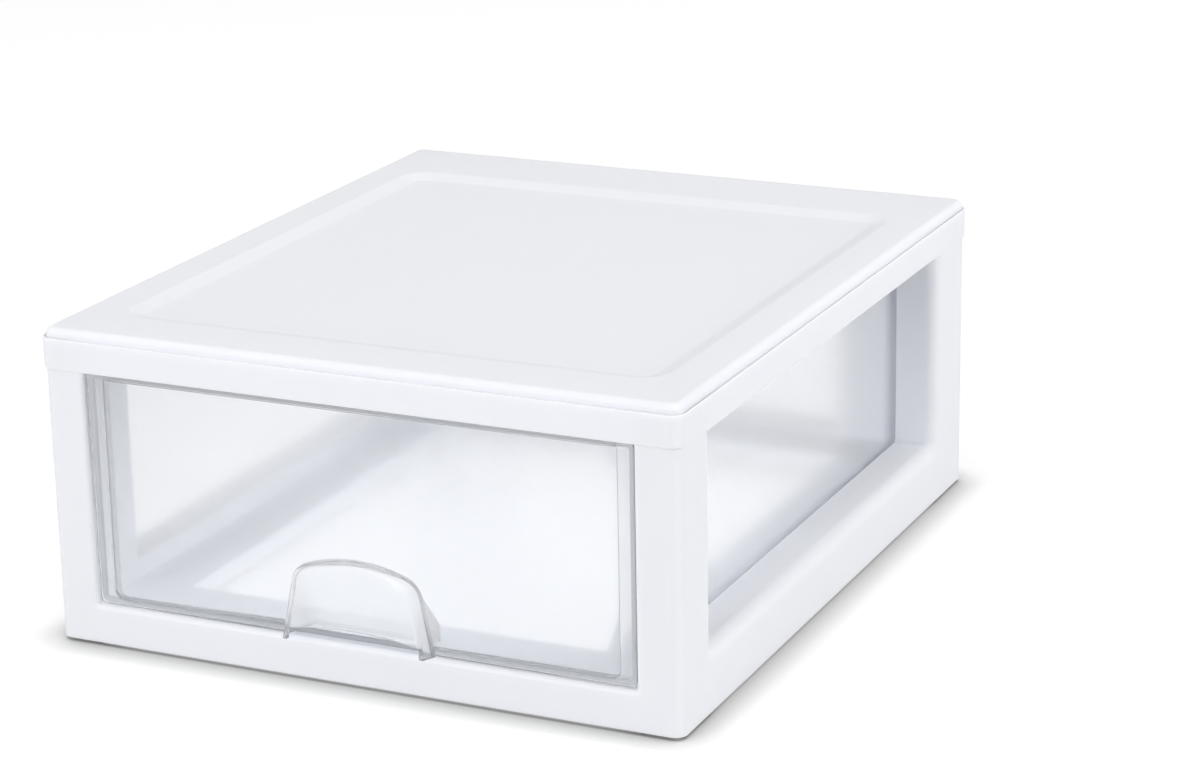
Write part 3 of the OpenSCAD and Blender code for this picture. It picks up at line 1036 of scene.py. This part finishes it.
@dataclass
class LowerFrame:
    """One moulding: four hollow posts, sills, tracks and stacking runners round four windows."""

    sizes: Sizes
    cap: TopCap
    corner: float = 6.5 * MM
    wall: float = 2.5 * MM
    edge: float = 0.7 * MM
    # How far the posts step in behind the cap's skirt.
    spigot_inset: float = 1.5 * MM
    # Rounded edges and corners of the windows, in the front and rear ends and in the sides.
    end_flare: float = 3.0 * MM
    side_flare: float = 8.0 * MM
    end_corner: float = 1.5 * MM
    side_corner: float = 2.0 * MM
    # Plastic left behind a rounded edge, and the height of the lip that hangs from a track.
    web_skin: float = 1.0 * MM
    lip_height: float = 10.0 * MM
    # The stacking runners, and their clearance in the recess of a box below.
    runner_width: float = 3.0 * MM
    stack_fit: float = 0.8 * MM
    # How far a cutting solid runs on inside the wall, and above the top.
    past: float = 1.0 * MM
    overshoot: float = 30.0 * MM

    def body(self) -> Solid:
        """The full outer block, stepped in round its top for the cap's skirt.

        Returns:
            The block.
        """
        s = self.sizes
        outer = Rect(-s.face_x, s.face_front, s.face_x, s.face_rear)
        inner = outer.grown(-self.spigot_inset)
        return Solid.loft(
            "lower_frame",
            [
                level_ring(outer, self.corner, s.rim_z),
                level_ring(outer, self.corner, s.skirt_z),
                level_ring(inner, self.corner - self.spigot_inset, s.skirt_z),
                level_ring(inner, self.corner - self.spigot_inset, s.spigot_z),
            ],
        )

    def flared(
        self, rect: Rect, corner: float, flare: float, start: float, face: float, ring: RingMaker
    ) -> Solid:
        """A window's space: straight through the wall, and flared where it meets the outer face.

        Args:
            rect: the opening, across and in height.
            corner: corner radius of the opening.
            flare: radius of the rounded edge at the face.
            start: where the straight part starts.
            face: where the outer face is.
            ring: the function that turns a rectangle into a ring across the wall.

        Returns:
            The solid to cut away.
        """
        out = 1 if face > start else -1
        rings = [ring(rect, corner, start)]
        for a, b in quarter(ROUND_STEPS):
            rings.append(ring(rect.grown(flare * a), corner + flare * a, face - out * flare * (1 - b)))
        rings.append(ring(rect.grown(flare), corner + flare, face + out * flare))
        return Solid.loft("window", rings)

    def windows(self) -> list[Solid]:
        """The spaces of the front, side and rear windows and of the drawer's bay.

        Returns:
            The solids to cut away.
        """
        s = self.sizes
        past = self.past
        top = s.top_z + self.overshoot
        front = Rect(-s.bay_x, s.track_z, s.bay_x, top)
        rear = Rect(-s.rear_window_x, s.rear_sill_z, s.rear_window_x, top)
        side = Rect(s.window_front, s.sill_z, s.window_rear, top)
        return [
            self.flared(front, self.end_corner, self.end_flare, s.window_front, s.face_front, facing_ring),
            self.flared(rear, self.end_corner, self.end_flare, s.panel_y - past, s.face_rear, facing_ring),
            self.flared(side, self.side_corner, self.side_flare, s.bay_x - past, s.face_x, side_ring),
            self.flared(side, self.side_corner, self.side_flare, -s.bay_x + past, -s.face_x, side_ring),
            Solid.block("bay", (-s.bay_x, s.window_front - past, s.track_z), (s.bay_x, s.panel_y, top)),
        ]

    def hollows(self) -> list[Solid]:
        """The spaces under the sills and tracks, inside the posts, and the open middle of the base.

        Returns:
            The solids to cut away.
        """
        s = self.sizes
        w = self.wall
        low, top = s.rim_z - w, s.top_z
        track, lip = s.track_z - w, s.track_z - self.lip_height
        web, side_web = self.end_flare + self.web_skin, self.side_flare + self.web_skin
        deep = self.spigot_inset + w
        spaces = [
            Solid.block("base", (-s.open_x, s.window_front, low), (s.open_x, s.open_rear, top)),
            Solid.block(
                "front_under",
                (-s.bay_x, s.face_front + web, low),
                (s.bay_x, s.window_front - w, track),
            ),
            Solid.block(
                "front_lip",
                (-s.bay_x, s.window_front - 2 * w, low),
                (s.bay_x, s.window_front, lip),
            ),
            Solid.block("rear_under", (-s.bay_x, s.open_rear + w, low), (s.bay_x, s.panel_y, track)),
            Solid.block("rear_lip", (-s.bay_x, s.open_rear, low), (s.bay_x, s.open_rear + 2 * w, lip)),
            Solid.block(
                "rear_sill_under",
                (-s.rear_window_x, s.panel_y + w, low),
                (s.rear_window_x, s.face_rear - web, s.rear_sill_z - w),
            ),
        ]
        for side in (-1, 1):
            # Inner x, outer x, front, rear and top of the spaces under the track and its lip, and in
            # the sill, the front post, the rear post and the rear panel.
            boxes = [
                (s.open_x + w, s.bay_x, s.window_front, s.open_rear + w, track),
                (s.open_x, s.open_x + 2 * w, s.window_front, s.open_rear, lip),
                (s.bay_x + w, s.face_x - w, s.window_front, s.window_rear, s.sill_z - self.side_flare),
                (s.bay_x + web, s.face_x - deep, s.face_front + deep, s.window_front - side_web, top),
                (s.bay_x + w, s.face_x - deep, s.window_rear + side_web, s.face_rear - deep, top),
                (s.rear_window_x + web, s.bay_x - w, s.panel_y + w, s.face_rear - deep, top),
            ]
            for inner, outer, front, rear, high in boxes:
                left, right = sorted((side * inner, side * outer))
                spaces.append(Solid.block("hollow", (left, front, low), (right, rear, high)))
        return spaces

    def runners(self, finish: bpy.types.Material) -> Solid:
        """The two runners that the box stands on; they drop into the recess of a box below.

        Args:
            finish: their material.

        Returns:
            The runners.
        """
        s = self.sizes
        cap = self.cap
        foot = cap.recess_rect.grown(-cap.recess_slope - self.stack_fit)
        low = (foot.x0, foot.y0, s.runner_z)
        high = (foot.x0 + self.runner_width, min(foot.y1, s.open_rear), s.track_z - self.wall / 2)
        step = (foot.x1 - foot.x0 - self.runner_width, 0.0, 0.0)
        return block_row("runners", low, high, step, 2, finish)

    def build(self, finish: bpy.types.Material) -> bpy.types.Object:
        """Makes the lower frame."""
        frame = self.body().cut(*self.windows()).cut(*self.hollows()).join(self.runners(finish))
        return frame.tidy().soften(self.edge).dress(finish)


# ------------------------------------------------------------------ the drawer


@dataclass(frozen=True)
class PullOutline:
    """Face-on outline of the pull: two flanks, two shoulders and a low crown."""

    foot_half: float = 44.0 * MM
    shoulder_half: float = 37.75 * MM
    shoulder_radius: float = 13.0 * MM
    crown_radius: float = 85.0 * MM
    height: float = 46.2 * MM
    shoulder_steps: int = 10
    crown_steps: int = 12
    pocket_radius: float = 6.0 * MM
    pocket_round_share: float = 0.45

    def points(self, inset: float, track_z: float, foot_z: float) -> list[Flat]:
        """The outline as (x, z) points from the right foot over the crown to the left foot.

        Args:
            inset: how far the outline is drawn in.
            track_z: height of the track that the pull's height is measured from.
            foot_z: height of the feet.

        Returns:
            The points, the same number for any inset.
        """
        crown_z = track_z + self.height - self.crown_radius
        between = self.crown_radius - self.shoulder_radius
        shoulder_x = self.shoulder_half - self.shoulder_radius
        lean = math.asin(shoulder_x / between)
        shoulder_z = crown_z + between * math.cos(lean)
        radius = self.shoulder_radius - inset
        foot = Vector((self.foot_half - inset, foot_z))
        away = foot - Vector((shoulder_x, shoulder_z))
        start = math.atan2(away.y, away.x) + math.acos(radius / away.length)
        end = math.pi / 2 - lean
        right = [(foot.x, foot.y)]
        for i in range(self.shoulder_steps + 1):
            a = start + (end - start) * i / self.shoulder_steps
            right.append((shoulder_x + radius * math.cos(a), shoulder_z + radius * math.sin(a)))
        crown = []
        for i in range(1, self.crown_steps):
            a = lean - 2 * lean * i / self.crown_steps
            r = self.crown_radius - inset
            crown.append((r * math.sin(a), crown_z + r * math.cos(a)))
        return right + crown + [(-x, z) for x, z in reversed(right)]

    def pocket_points(self, inset: float, foot_z: float, height: float) -> list[Flat]:
        """The low upright rectangle that the pocket ends in, as many points as the outline has.

        Args:
            inset: how far the rectangle is drawn in.
            foot_z: height of its foot.
            height: height of the rectangle before it is drawn in.

        Returns:
            The points, from the right foot over the top to the left foot.
        """
        half = self.shoulder_half - inset
        top = foot_z + height - inset
        soft = min(self.pocket_radius, self.pocket_round_share * (top - foot_z))
        right = [(half, foot_z)]
        for i in range(self.shoulder_steps + 1):
            a = math.pi / 2 * i / self.shoulder_steps
            right.append((half - soft + soft * math.cos(a), top - soft + soft * math.sin(a)))
        flat = half - soft
        line = [(flat - 2 * flat * i / self.crown_steps, top) for i in range(1, self.crown_steps)]
        return right + line + [(-x, z) for x, z in reversed(right)]


@dataclass
class ClearDrawer:
    """One clear moulding: a round-cornered tub, a flat front that overlaps it, and a hooded pull."""

    sizes: Sizes
    cap: TopCap
    outline: PullOutline = PullOutline()
    wall: float = 2.2 * MM
    soft: float = 0.5 * MM
    # The tub.
    floor: float = 2.4 * MM
    side_gap: float = 3.4 * MM
    rim_drop: float = 4.0 * MM
    corner: float = 14.0 * MM
    foot: float = 8.0 * MM
    # The flat front, its clearance in the bay and the rib on its back.
    front_gap: float = 0.9 * MM
    top_gap: float = 0.9 * MM
    plate_corner: float = 2.5 * MM
    border: float = 2.6 * MM
    # The bead round the rim, and the stop tabs behind the skirt.
    bead_height: float = 3.0 * MM
    bead_out: float = 1.2 * MM
    bead_rise: float = 2.8 * MM
    tab_length: float = 14.0 * MM
    tab_inset: float = 0.1 * MM
    seat_gap: float = 0.3 * MM
    # The hood of the pull.
    taper: float = 3.3 * MM
    nose_soft: float = 1.2 * MM
    brow_lean: float = 2.4 * MM
    brow_rise: float = 19.5 * MM
    brow_steps: int = 48
    # The finger gap under the hood's lip, and the pocket behind it.
    finger_gap: float = 10.0 * MM
    lip_bow: float = 3.6 * MM
    lip_steps: int = 32
    pocket_depth: float = 19.0 * MM
    pocket_height: float = 14.0 * MM
    # Clearance round a piece that is fitted into another, and how far a cutting solid runs on.
    seam: float = 0.12 * MM
    past: float = 1.0 * MM

    @property
    def tub_x(self) -> float:
        """Half the width of the tub."""
        return self.sizes.bay_x - self.side_gap

    @property
    def rim_z(self) -> float:
        """Height of the tub's rim."""
        return self.sizes.skirt_z - self.rim_drop

    @property
    def lip_x(self) -> float:
        """Half the width of the finger gap."""
        return self.outline.foot_half - self.taper - self.wall

    @property
    def bow_radius(self) -> float:
        """Radius of the bows of the lip and the crease."""
        return (self.lip_x**2 + self.lip_bow**2) / (2 * self.lip_bow)

    def plan(self, inset: float, z: float) -> Ring:
        """Level outline of the tub.

        Args:
            inset: how far it is moved in.
            z: its height.

        Returns:
            The outline.
        """
        s = self.sizes
        rect = Rect(-self.tub_x, s.plate_y, self.tub_x, s.tub_rear).grown(-inset)
        return level_ring(rect, self.corner - inset, z)

    def tub(self) -> Solid:
        """The open tub.

        Returns:
            The tub, with a rounded foot and rim.
        """
        bottom = self.sizes.tub_z
        inner_foot = self.foot - self.wall
        rings = [self.plan(self.foot * (1 - b), bottom + self.foot * a) for a, b in quarter(ROUND_STEPS)]
        rings += [
            self.plan(self.soft * a, self.rim_z - self.soft * (1 - b))
            for a, b in quarter(EDGE_STEPS)
        ]
        rings += [
            self.plan(self.wall - self.soft * (1 - b), self.rim_z - self.soft * a)
            for a, b in quarter(EDGE_STEPS)
        ]
        rings += [
            self.plan(self.wall + inner_foot * a, bottom + self.floor + inner_foot * (1 - b))
            for a, b in quarter(ROUND_STEPS)
        ]
        return Solid.loft("clear_drawer", rings)

    @property
    def plate_rect(self) -> Rect:
        """The flat front, across and in height."""
        s = self.sizes
        half = s.bay_x - self.front_gap
        return Rect(-half, s.track_z + self.front_gap, half, s.skirt_z - self.top_gap)

    def plate(self) -> Solid:
        """The flat front, with softened edges.

        Returns:
            The plate.
        """
        front = self.sizes.plate_y
        back = front + self.wall
        edge = [(self.soft * (1 - b), front + self.soft * a) for a, b in quarter(EDGE_STEPS)]
        edge += [(self.soft * a, back - self.soft * (1 - b)) for a, b in quarter(EDGE_STEPS)]
        rings = []
        for inset, y in edge:
            rings.append(facing_ring(self.plate_rect.grown(-inset), self.plate_corner - inset, y))
        return Solid.loft("plate", rings)

    def bead(self, finish: bpy.types.Material) -> Solid:
        """The bead round the rim, flush with the tub at the back.

        Args:
            finish: its material.

        Returns:
            The bead.
        """
        s = self.sizes
        half = (self.wall + self.bead_out) / 2
        path = Rect(
            -self.tub_x - self.bead_out + half,
            s.plate_y + self.soft + half,
            self.tub_x + self.bead_out - half,
            s.tub_rear - self.soft / 2 - half,
        )
        z = self.rim_z + self.bead_rise - self.bead_height / 2
        section = Rect(-half, -self.bead_height / 2, half, self.bead_height / 2)
        corner = self.corner - half + self.bead_out
        return swept_bead("rim_bead", path, corner, z, section, Lie.LEVEL, finish)

    def build_border(self, finish: bpy.types.Material) -> bpy.types.Object:
        """Makes the rib that stiffens the flat front all round its edge, on its back; its dark grey finish
        is painted shade, the shadow line under the skirt and along the window's edges.

        Args:
            finish: its material.

        Returns:
            The rib's object.
        """
        half = self.border / 2
        path = self.plate_rect.grown(-half - self.seam)
        at = self.sizes.plate_y + self.wall + self.seam + half
        section = Rect(-half, -half, half, half)
        rib = swept_bead("front_rib", path, self.plate_corner, at, section, Lie.UPRIGHT, finish)
        return rib.shade().dress(finish)

    def tabs(self, finish: bpy.types.Material) -> Solid:
        """The two stop tabs on the rim, which meet the skirt when the drawer is fully out.

        Args:
            finish: their material.

        Returns:
            The tabs.
        """
        s = self.sizes
        front = s.cap_front + self.cap.skirt_wall + self.seat_gap + s.travel
        low = (-self.tub_x + self.tab_inset, front, self.rim_z - self.bead_height)
        high = (-self.tub_x + self.wall - self.tab_inset, front + self.tab_length, s.tub_top)
        step = (2 * self.tub_x - self.wall, 0.0, 0.0)
        return block_row("stop_tabs", low, high, step, 2, finish)

    def face_ring(self, inset: float, foot_z: float, y: float) -> Ring:
        """The pull's outline, drawn in, standing at y."""
        return [(x, y, z) for x, z in self.outline.points(inset, self.sizes.track_z, foot_z)]

    def pocket(self, inset: float, foot_z: float) -> Solid:
        """The pocket behind the pull: it narrows from the outline down to a low rectangle.

        Args:
            inset: 0 for the outside, or the wall's thickness for the hollow.
            foot_z: height of its foot.

        Returns:
            The solid.
        """
        s = self.sizes
        rear = s.plate_y + self.pocket_depth - inset
        low = [(x, rear, z) for x, z in self.outline.pocket_points(inset, foot_z, self.pocket_height)]
        return Solid.loft("pocket", [self.face_ring(inset, foot_z, s.plate_y), low])

    def hood(self, inset: float, foot_z: float) -> Solid:
        """The hood in front of the plate: tapered flanks, a soft nose, and a brow that leans back.

        Args:
            inset: 0 for the outside, or the wall's thickness for the hollow.
            foot_z: height of its foot.

        Returns:
            The solid.
        """
        s = self.sizes
        nose = s.pull_front + inset
        depth = s.plate_y - nose
        soft = self.nose_soft if inset == 0 else self.nose_soft / 2
        rings = [
            self.face_ring(inset, foot_z, s.plate_y + self.past),
            self.face_ring(inset, foot_z, s.plate_y),
        ]
        flank_end = self.taper * (1 - soft / depth)
        for a, b in quarter(NOSE_STEPS):
            rings.append(self.face_ring(inset + flank_end + soft * a, foot_z, nose + soft * (1 - b)))
        return Solid.loft("hood", rings).cut(self.brow(inset))

    def brow(self, inset: float) -> Solid:
        """What the brow's lean takes away above the crease: a cone round the middle of its bow.

        Args:
            inset: how far the hood's surface is drawn in.

        Returns:
            The solid to cut away.
        """
        s = self.sizes
        radius = self.bow_radius
        centre_z = s.track_z + self.finger_gap + self.brow_rise - inset - radius
        rise = s.pull_top - self.wall / 2 - (centre_z + radius)
        reach = 2 * rise
        front = s.pull_front + inset
        sections = [
            (radius, front - self.past),
            (radius, front),
            (radius + reach, front + self.brow_lean * reach / rise),
            (radius + reach, front - self.past),
        ]
        half = math.asin(self.outline.foot_half / radius)
        rings = []
        for i in range(self.brow_steps + 1):
            a = half - 2 * half * i / self.brow_steps
            rings.append([(r * math.sin(a), y, centre_z + r * math.cos(a)) for r, y in sections])
        return Solid.loft("brow", rings)

    def mouth(self) -> Solid:
        """The bowed gap under the lip.

        Returns:
            The solid to cut away.
        """
        s = self.sizes
        radius = self.bow_radius
        centre_z = s.track_z + self.finger_gap - radius
        arch = []
        for i in range(self.lip_steps + 1):
            x = self.lip_x * (1 - 2 * i / self.lip_steps)
            arch.append((x, centre_z + math.sqrt(radius**2 - x**2)))
        arch += [(-self.lip_x, 0.0), (self.lip_x, 0.0)]
        front = s.pull_front - self.past
        return Solid.loft("mouth", [[(x, y, z) for x, z in arch] for y in (front, s.plate_y)])

    def build(self, finish: bpy.types.Material) -> bpy.types.Object:
        """Makes the drawer, with the cut-out that its pull stands in.

        Args:
            finish: its material.

        Returns:
            The drawer's object.
        """
        foot = self.sizes.tub_z - self.past
        drawer = self.tub().join(self.plate(), self.bead(finish), self.tabs(finish))
        drawer.cut(self.pocket(-self.seam, foot), self.hood(-self.seam, foot))
        return drawer.tidy().shade().dress(finish)

    def build_pull(self, finish: bpy.types.Material) -> bpy.types.Object:
        """Makes the hooded pull and the pocket behind it.

        Args:
            finish: its material.

        Returns:
            The pull's object.
        """
        foot = self.sizes.tub_z
        below = foot - self.past
        pull = self.pocket(0, foot).join(self.hood(0, foot))
        pull.cut(self.hood(self.wall, below), self.pocket(self.wall, below), self.mouth())
        pull.obj.name = "finger_pull"
        return pull.tidy().shade().dress(finish)


# ------------------------------------------------------------------ the studio


@dataclass(frozen=True)
class Softbox:
    """A square softbox that faces the box.

    The azimuth is in degrees from the front of the box towards its right, and the elevation in degrees
    above the table. The level is the light on a white surface that faces it: 1 shows the white as it is.
    """

    name: str
    azimuth: float
    elevation: float
    level: float


@dataclass
class Studio:
    """White table, soft light from all round, and the camera."""

    sizes: Sizes
    # The camera's place, its turn in degrees about X, Y and Z, and its lens and sensor in millimetres.
    eye: Point = (0.7804, -1.5855, 0.6623)
    turn: Point = (72.39, 1.01, 24.656)
    lens: float = 99.25
    sensor: float = 36.0
    view_end: float = 50.0
    world_strength: float = 0.43
    lamp_away: float = 5.0
    lamp_side: float = 2.4
    lamps: tuple[Softbox, ...] = (
        Softbox("front", azimuth=-14, elevation=18, level=0.48),
        Softbox("right", azimuth=100, elevation=18, level=0.48),
        Softbox("overhead", azimuth=0, elevation=85, level=0.24),
    )
    table_size: float = 12.0
    pane_reach: float = 15.0 * MM
    pane_z: float = 0.2 * MM
    bounces: int = 24

    def panel(self, name: str, rect: Rect, z: float, finish: bpy.types.Material) -> None:
        """A flat level panel of the stage.

        Args:
            name: name of the panel.
            rect: its corners in plan.
            z: its height.
            finish: its material.
        """
        mesh = bpy.data.meshes.new(name)
        mesh.from_pydata([(x, y, z) for x, y in rect.corners()], [], [(0, 1, 2, 3)])
        mesh.materials.append(finish)
        panel = bpy.data.objects.new(name, mesh)
        bpy.context.scene.collection.objects.link(panel)

    def table(self) -> None:
        """The table, and its lit pane below the open base of the box, as on a light table."""
        half = self.table_size / 2
        self.panel("table", Rect(-half, -half, half, half), 0.0, TableFinish().build())
        s = self.sizes
        base = Rect(-s.open_x, s.window_front, s.open_x, s.open_rear).grown(self.pane_reach)
        self.panel("lit_pane", base, self.pane_z, PaneFinish().build())

    def world(self) -> None:
        """Even white surroundings that read white to the camera and through the drawer."""
        world = bpy.data.worlds.new("studio")
        bpy.context.scene.world = world
        world.use_nodes = True
        tree = world.node_tree
        tree.nodes.clear()
        light = tree.nodes.new("ShaderNodeBackground")
        light.inputs["Color"].default_value = grey(1.0)
        light.inputs["Strength"].default_value = self.world_strength
        seen = tree.nodes.new("ShaderNodeBackground")
        seen.inputs["Color"].default_value = grey(1.0)
        mix = tree.nodes.new("ShaderNodeMixShader")
        out = tree.nodes.new("ShaderNodeOutputWorld")
        link(tree, seen_rays(tree), mix.inputs["Fac"])
        link(tree, light.outputs["Background"], mix.inputs[1])
        link(tree, seen.outputs["Background"], mix.inputs[2])
        link(tree, mix.outputs["Shader"], out.inputs["Surface"])

    def light(self, box: Softbox) -> None:
        """Sets up one softbox.

        Args:
            box: where it stands, and its level.
        """
        a, e = math.radians(box.azimuth), math.radians(box.elevation)
        aside = Vector((math.sin(a) * math.cos(e), -math.cos(a) * math.cos(e), math.sin(e)))
        data = bpy.data.lights.new(box.name, "AREA")
        data.shape = "SQUARE"
        data.size = self.lamp_side
        data.energy = box.level * (math.pi * self.lamp_away) ** 2
        lamp = bpy.data.objects.new(box.name, data)
        lamp.visible_camera = False
        lamp.visible_transmission = False
        lamp.location = aside * self.lamp_away
        lamp.rotation_euler = aside.to_track_quat("Z", "Y").to_euler()
        bpy.context.scene.collection.objects.link(lamp)

    def camera(self) -> None:
        """The camera that frames the whole box."""
        data = bpy.data.cameras.new("camera")
        data.lens = self.lens
        data.sensor_width = self.sensor
        data.clip_end = self.view_end
        camera = bpy.data.objects.new("camera", data)
        camera.location = self.eye
        camera.rotation_euler = [math.radians(a) for a in self.turn]
        bpy.context.scene.collection.objects.link(camera)
        bpy.context.scene.camera = camera

    def build(self) -> None:
        """Sets the whole studio up."""
        self.camera()
        self.table()
        self.world()
        for box in self.lamps:
            self.light(box)
        bpy.context.scene.view_settings.view_transform = "Standard"
        cycles = bpy.context.scene.cycles
        cycles.max_bounces = self.bounces
        cycles.diffuse_bounces = self.bounces // 2
        cycles.transmission_bounces = self.bounces
        cycles.transparent_max_bounces = self.bounces


# ------------------------------------------------------------------ assembly


FRAME_NODES = (
    "front_left_post",
    "front_right_post",
    "rear_left_post",
    "rear_right_post",
    "rear_left_panel",
    "rear_right_panel",
    "front_rail",
    "rear_rail",
    "left_rail",
    "right_rail",
    "rear_sill",
    "left_sill",
    "right_sill",
)


def place(piece: bpy.types.Object, body: str, slot: Slot, *nodes: str) -> None:
    """Puts a finished piece on its body in place of its nodes, and reports it.

    Args:
        piece: the finished piece.
        body: the body that it moves with.
        slot: the record's slot that its finish comes from; not used.
        nodes: the nodes that it stands for, or none.
    """
    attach(piece, body)
    if nodes:
        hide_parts(*nodes)
    LOG.info("%s rides on %s and stands for %s", piece.name, body, ", ".join(nodes) or "no node")


def main() -> None:
    """Builds the pieces round the frame, then the studio."""
    logging.basicConfig(level=logging.INFO, format="%(message)s")
    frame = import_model()
    sizes = Sizes.read(frame["joints"])
    white = SatinPlastic().build()
    cap = TopCap(sizes)
    place(cap.build(white), "frame", Slot.FRAME, "top_cap")
    place(LowerFrame(sizes, cap).build(white), "frame", Slot.FRAME, *FRAME_NODES)
    drawer = ClearDrawer(sizes, cap)
    place(drawer.build(DRAWER_CLEAR.build()), "drawer", Slot.DRAWER, "drawer_tub")
    place(drawer.build_pull(PULL_MILKY.build()), "drawer", Slot.DRAWER, "drawer_pull")
    # The front rib's dark grey finish is painted shade under the skirt and along the window's edges.
    place(drawer.build_border(RIB_SHADE_GREY.build()), "drawer", Slot.DRAWER)
    Studio(sizes).build()


if __name__ == "__main__":
    main()
